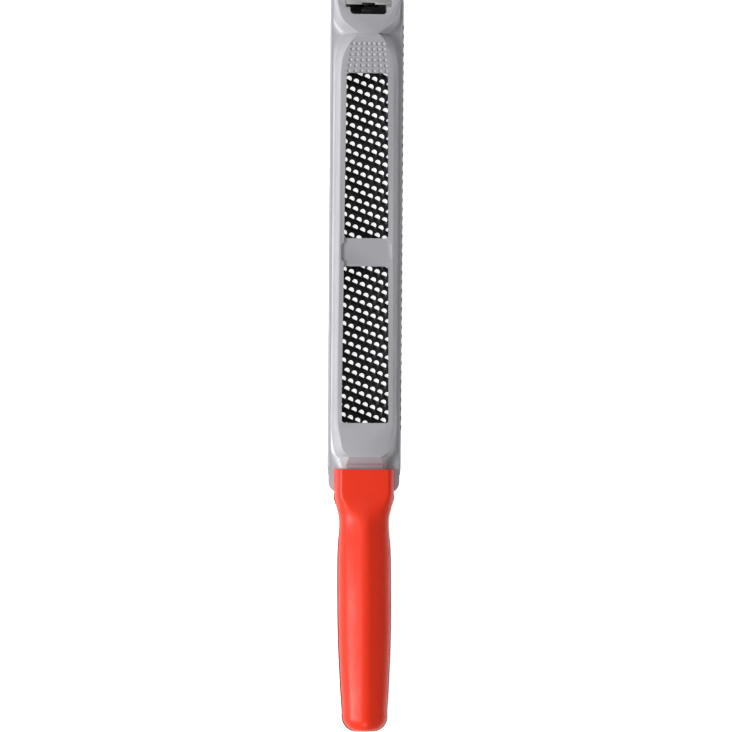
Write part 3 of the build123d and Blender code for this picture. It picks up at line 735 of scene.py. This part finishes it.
# --------------------------------------------------------------------------- frame casting
@dataclass
class Casting:
    """Open cast frame with its boss, thumb pad, windows, bridge and deck."""

    edge_radius: float = 0.42 * MM
    edge_crease: float = 35.0
    shortest_edge: float = 0.8 * MM
    dimple_half: float = 11.6 * MM
    dimples_low: float = 13.2 * MM
    dimples_far: float = 176.0 * MM
    dimples_near: float = 159.0 * MM
    pieces: list[bpy.types.Object] = field(default_factory=list)

    def _on_dimples(self, spot: Vector) -> bool:
        """Say whether a point lies in the dimpled area of the thumb pad."""
        inside = abs(spot.x) < self.dimple_half and spot.z > self.dimples_low
        return inside and self.dimples_near < spot.y < self.dimples_far

    def build(self) -> None:
        """Make the casting."""
        bm = Mesher.from_node("frame")
        Mesher.round_edges(
            bm, self.edge_radius, self.edge_crease, self.shortest_edge, self._on_dimples
        )
        self.pieces.append(
            Mesher.piece(bm, "frame_casting", Body.FRAME, ("frame",), Slot.CASTING, 32.0)
        )

    def dress(self, paint: Paintbox) -> None:
        """Paint the casting."""
        for piece in self.pieces:
            paint.dress(piece, Slot.CASTING)


# --------------------------------------------------------------------------- handle
@dataclass
class Handle:
    """Two-part moulded handle: glossy cover, grained base and soft pad."""

    collar_length: float = 13.0 * MM
    collar_width: float = 33.0 * MM
    shoulder: float = 8.3 * MM
    collar_top: float = 18.0 * MM
    collar_crest: float = 12.2 * MM
    collar_slope: float = 0.02
    climb: float = math.tan(math.radians(7.0))
    cap_radius: float = 8.0 * MM
    cap_angles: tuple[int, ...] = (12, 24, 36, 48, 60, 72, 81, 90)
    stations: int = 56
    side_steps: int = 16
    ridge_steps: int = 8
    cover_rounding: float = 0.4 * MM
    base_rounding: float = 0.25 * MM
    pad_rounding: float = 0.3 * MM
    shortest_edge: float = 0.6 * MM
    # distance behind the heel as a share of the grip, width, height, crest, crest slope
    rows: tuple[tuple[float, float, float, float, float], ...] = (
        (0.0, 33.0, 9.7, 12.2, 0.02),
        (0.055, 30.6, 10.2, 8.6, 0.14),
        (0.12, 27.0, 11.0, 3.6, 0.42),
        (0.25, 28.4, 12.3, 3.2, 0.42),
        (0.41, 28.7, 13.2, 3.2, 0.42),
        (0.6, 28.3, 12.8, 3.2, 0.42),
        (0.8, 26.1, 12.0, 3.2, 0.42),
        (0.9382, 24.3, 11.2, 3.2, 0.42),
    )
    pieces: dict[str, bpy.types.Object] = field(default_factory=dict)

    def _row(self, share: float) -> list[float]:
        """Section sizes at a share of the grip length, on a smooth curve through the rows.

        Args:
            share: 0 at the heel, 1 at the tail.

        Returns:
            Width, height, crest half width in metres, and crest slope.
        """
        last = len(self.rows) - 1
        index = max(i for i in range(last) if self.rows[i][0] <= share + 1e-6)
        near, far = self.rows[index], self.rows[index + 1]
        before, after = self.rows[max(index - 1, 0)], self.rows[min(index + 2, last)]
        span = far[0] - near[0]
        t = min((share - near[0]) / span, 1.0)
        values = []
        for column in range(1, len(near)):
            lead = (far[column] - before[column]) / (far[0] - before[0]) * span
            trail = (after[column] - near[column]) / (after[0] - near[0]) * span
            lead = 0.0 if index == 0 else lead
            trail = 0.0 if index + 1 == last else trail
            value = (2 * t**3 - 3 * t**2 + 1) * near[column] + (3 * t**2 - 2 * t**3) * far[column]
            value += (t**3 - 2 * t**2 + t) * lead + (t**3 - t**2) * trail
            values.append(value * (1.0 if column == 4 else MM))
        return values

    def _dome(
        self, y: float, base: float, width: float, height: float, crest: float, slope: float
    ) -> list[Vector]:
        """Ring of points round an upper half section.

        Args:
            y: station.
            base: height of the parting face.
            width: full width.
            height: height of the crest above the parting face.
            crest: half width of the crest.
            slope: slope at the ends of the crest.

        Returns:
            The ring.
        """
        half = width / 2
        reach = 0.5 * (half - crest)
        top = base + height - crest * slope / 2
        corner = (
            Vector((half, base)), Vector((half, base + 0.62 * height)),
            Vector((crest + reach, top - reach * slope)), Vector((crest, top)),
        )
        side = []
        for step in range(self.side_steps + 1):
            t = step / self.side_steps
            weights = ((1 - t) ** 3, 3 * t * (1 - t) ** 2, 3 * t**2 * (1 - t), t**3)
            side.append(sum((w * p for w, p in zip(weights, corner)), Vector((0.0, 0.0))))
        ridge = []
        for step in range(1, self.ridge_steps):
            x = crest * (1 - 2 * step / self.ridge_steps)
            ridge.append(Vector((x, base + height - (x / crest) ** 2 * crest * slope / 2)))
        left = [Vector((-p.x, p.y)) for p in reversed(side)]
        seam = [Vector((half * x, base)) for x in (-0.6, -0.2, 0.2, 0.6)]
        return [Vector((p.x, y, p.y)) for p in side + ridge + left + seam]

    def _cover(self) -> bmesh.types.BMesh:
        """Mesh of the glossy cover."""
        low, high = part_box("handle_cover")
        heel = high.y - self.collar_length
        grip = heel - low.y
        stretch = 1.0 - self.cap_radius / grip
        rings = [
            self._dome(
                y, self.shoulder, self.collar_width, self.collar_top - self.shoulder,
                self.collar_crest, self.collar_slope,
            )
            for y in (high.y, high.y - 0.4 * self.collar_length, heel + 0.6 * MM)
        ]
        for step in range(self.stations + 1):
            share = stretch * step / self.stations
            base = self.shoulder + self.climb * share * grip
            rings.append(self._dome(heel - share * grip, base, *self._row(share)))
        width, height, crest, slope = self._row(stretch)
        for angle in self.cap_angles:
            turn = math.radians(angle)
            y = low.y + self.cap_radius * (1 - math.sin(turn))
            base = self.shoulder + self.climb * (heel - y)
            narrow = width - 2 * self.cap_radius * (1 - math.cos(turn))
            squat = height * (0.5 + 0.5 * math.cos(turn))
            rings.append(self._dome(y, base, narrow, squat, crest * narrow / width, slope))
        return Mesher.loft(rings)

    def build(self) -> None:
        """Make the cover, the base and the pad."""
        self.pieces["cover"] = Mesher.piece(
            self._cover(), "red_cover", Body.FRAME, ("handle_cover",), Slot.RED,
            crease=40.0, round_edge=self.cover_rounding, segments=3,
        )
        base = Mesher.from_node("handle_base")
        Mesher.round_edges(base, self.base_rounding, 50.0, self.shortest_edge)
        self.pieces["base"] = Mesher.piece(
            base, "black_base", Body.FRAME, ("handle_base",), Slot.BLACK
        )
        pad = Mesher.from_node("grip_pad")
        Mesher.round_edges(pad, self.pad_rounding, 50.0, self.shortest_edge)
        self.pieces["pad"] = Mesher.piece(pad, "soft_pad", Body.FRAME, ("grip_pad",), Slot.RUBBER)

    def dress(self, paint: Paintbox) -> None:
        """Colour the three mouldings."""
        paint.dress(self.pieces["cover"], Slot.RED)
        paint.dress(self.pieces["base"], Slot.BLACK)
        paint.dress(self.pieces["pad"], Slot.RUBBER)


# --------------------------------------------------------------------------- blade
@dataclass
class Blade:
    """Perforated blade with turned-up edges."""

    pieces: list[bpy.types.Object] = field(default_factory=list)

    def build(self) -> None:
        """Make the blade."""
        bm = Mesher.from_node("blade")
        self.pieces.append(
            Mesher.piece(bm, "perforated_blade", Body.BLADE, ("blade",), Slot.BLADE, 30.0)
        )

    def dress(self, paint: Paintbox) -> None:
        """Blacken the blade."""
        for piece in self.pieces:
            paint.dress(piece, Slot.BLADE)


# --------------------------------------------------------------------------- hardware
@dataclass(frozen=True)
class Fixing:
    """One small metal piece.

    Args:
        node: CAD node it stands for.
        body: body it rides on.
        slot: record slot.
        rounding: size of its edge rounding in metres.
        shaded_plating: whether it wears a darker copy of its plating, as painted shade, instead of
            its slot's usual finish.
    """

    node: str
    body: Body
    slot: Slot
    rounding: float
    shaded_plating: bool = False


@dataclass
class Hardware:
    """Nose mechanism and the fixings of the handle."""

    fixings: tuple[Fixing, ...] = (
        Fixing("anchor_pin", Body.FRAME, Slot.PLATED, 0.15 * MM),
        Fixing("thrust_washer", Body.FRAME, Slot.PLATED, 0.1 * MM),
        # The screw and nut take the darker plating: painted shade inside the nose.
        Fixing("tension_screw", Body.SCREW, Slot.PLATED, 0.12 * MM, True),
        Fixing("tension_nut", Body.SLIDER, Slot.PLATED, 0.12 * MM, True),
        Fixing("retaining_clip", Body.SCREW, Slot.SPRING, 0.08 * MM),
        Fixing("hook", Body.SLIDER, Slot.SPRING, 0.12 * MM),
        Fixing("tension_slider", Body.SLIDER, Slot.SLIDER, 0.2 * MM),
        Fixing("handle_screw_front", Body.FRAME, Slot.PLATED, 0.1 * MM),
        Fixing("handle_screw_middle", Body.FRAME, Slot.PLATED, 0.1 * MM),
        Fixing("handle_screw_rear", Body.FRAME, Slot.PLATED, 0.1 * MM),
        Fixing("washer_front", Body.FRAME, Slot.PLATED, 0.08 * MM),
        Fixing("washer_middle", Body.FRAME, Slot.PLATED, 0.08 * MM),
        Fixing("nut_front", Body.FRAME, Slot.PLATED, 0.12 * MM),
        Fixing("nut_middle", Body.FRAME, Slot.PLATED, 0.12 * MM),
    )
    plate_low: float = 15.4 * MM
    pieces: dict[str, bpy.types.Object] = field(default_factory=dict)

    def build(self) -> None:
        """Make every fixing with softly rounded edges."""
        for fixing in self.fixings:
            bm = Mesher.from_node(fixing.node)
            Mesher.round_edges(bm, fixing.rounding, 40.0)
            self.pieces[fixing.node] = Mesher.piece(
                bm, fixing.node + "_metal", fixing.body, (fixing.node,), fixing.slot
            )

    def dress(self, paint: Paintbox) -> None:
        """Plate each fixing; painted shade darkens the screw, the nut and the slider under its
        grey plate.
        """
        for fixing in self.fixings:
            piece = self.pieces[fixing.node]
            paint.dress(piece, fixing.slot)
            # Painted shade: the screw and nut take the darker copy of the plating.
            if fixing.shaded_plating:
                piece.material_slots[0].material = paint.shaded_plating
        # Painted shade: the slider's faces below its plate take the dark spring steel.
        mesh = self.pieces["tension_slider"].data
        mesh.materials.append(paint.materials[Slot.SPRING])
        for face in mesh.polygons:
            if face.center.z < self.plate_low:
                face.material_index = 1


# --------------------------------------------------------------------------- studio
@dataclass
class Studio:
    """Light table, soft lights and the camera above, a little to the left of the tool."""

    view_width: float = 402.6 * MM
    distance: float = 2.2
    sensor: float = 36.0
    aim: Vector = field(default_factory=lambda: Vector((0.7 * MM, -4.6 * MM, 8.0 * MM)))
    tilt: float = math.radians(4.6)
    lean: float = math.radians(0.4)
    floor_half: float = 3.0
    floor_glow: float = 0.85
    sky: tuple[float, float, float, float] = (0.93, 0.95, 1.0, 1.0)
    sky_strength: float = 0.1
    # name, place, side length in metres, power in watts
    lamps: tuple[tuple[str, Colour, float, float], ...] = (
        ("key_left", (-1.4, -0.15, 1.05), 0.6, 27.0),
        ("tail_side", (-0.2, -1.3, 1.6), 0.7, 12.0),
        ("nose_side", (-0.2, 1.2, 1.7), 0.7, 8.0),
        ("fill_right", (1.4, -0.2, 0.9), 1.2, 0.4),
    )

    def _floor(self) -> None:
        """Lay a glowing pale floor that is clear from below."""
        bm = bmesh.new()
        bmesh.ops.create_grid(bm, x_segments=1, y_segments=1, size=self.floor_half)
        mesh = bpy.data.meshes.new("light_table")
        bm.to_mesh(mesh)
        bm.free()
        table = bpy.data.objects.new("light_table", mesh)
        bpy.context.scene.collection.objects.link(table)
        material = bpy.data.materials.new("light_table_glass")
        material.use_nodes = True
        material.node_tree.nodes.clear()
        sheet = ShaderSheet(material.node_tree)
        glow = sheet.add("ShaderNodeBsdfPrincipled")
        glow.inputs["Base Color"].default_value = (0.8, 0.8, 0.8, 1.0)
        glow.inputs["Roughness"].default_value = 0.9
        glow.inputs["Emission Color"].default_value = (1.0, 1.0, 1.0, 1.0)
        glow.inputs["Emission Strength"].default_value = self.floor_glow
        clear = sheet.add("ShaderNodeBsdfTransparent")
        side = sheet.add("ShaderNodeNewGeometry")
        choose = sheet.add("ShaderNodeMixShader")
        output = sheet.add("ShaderNodeOutputMaterial")
        sheet.link(side.outputs["Backfacing"], choose.inputs[0])
        sheet.link(glow.outputs[0], choose.inputs[1])
        sheet.link(clear.outputs[0], choose.inputs[2])
        sheet.link(choose.outputs[0], output.inputs["Surface"])
        mesh.materials.append(material)

    @staticmethod
    def _light(name: str, place: Vector, size: float, power: float, aim: Vector) -> None:
        """Hang one soft square light.

        Args:
            name: light name.
            place: where it hangs.
            size: side length.
            power: watts.
            aim: point it looks at.
        """
        lamp = bpy.data.lights.new(name, "AREA")
        lamp.shape = "SQUARE"
        lamp.size = size
        lamp.energy = power
        holder = bpy.data.objects.new(name, lamp)
        holder.location = place
        holder.rotation_euler = (aim - place).to_track_quat("-Z", "Y").to_euler()
        bpy.context.scene.collection.objects.link(holder)

    def _camera(self) -> None:
        """Hang the camera above the tool, a little to its left."""
        camera = bpy.data.cameras.new("overhead_camera")
        camera.sensor_width = self.sensor
        camera.lens = self.sensor * self.distance / self.view_width
        camera.clip_end = 20.0
        holder = bpy.data.objects.new("overhead_camera", camera)
        offset = Vector((-math.sin(self.tilt), 0.0, math.cos(self.tilt))) * self.distance
        holder.location = self.aim + offset
        holder.rotation_euler = (0.0, -self.tilt, self.lean)
        bpy.context.scene.collection.objects.link(holder)
        bpy.context.scene.camera = holder

    def build(self) -> None:
        """Set up floor, surroundings, lights and camera."""
        self._floor()
        scene = bpy.context.scene
        scene.view_settings.view_transform = "Standard"
        world = bpy.data.worlds.new("pale_room")
        scene.world = world
        world.use_nodes = True
        background = world.node_tree.nodes["Background"]
        background.inputs[0].default_value = self.sky
        background.inputs[1].default_value = self.sky_strength
        centre = Vector((0.0, 0.0, 0.0))
        for name, place, size, power in self.lamps:
            self._light(name, Vector(place), size, power, centre)
        self._camera()


def main() -> None:
    """Build the tool in order and report its pieces."""
    logging.basicConfig(level=logging.INFO, format="%(name)s: %(message)s")
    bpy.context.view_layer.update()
    paint = Paintbox()
    for part in (Casting(), Handle(), Blade(), Hardware()):
        part.build()
        part.dress(paint)
        LOG.info("built %s", type(part).__name__)
    Studio().build()


if __name__ == "__main__":
    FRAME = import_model()
    main()
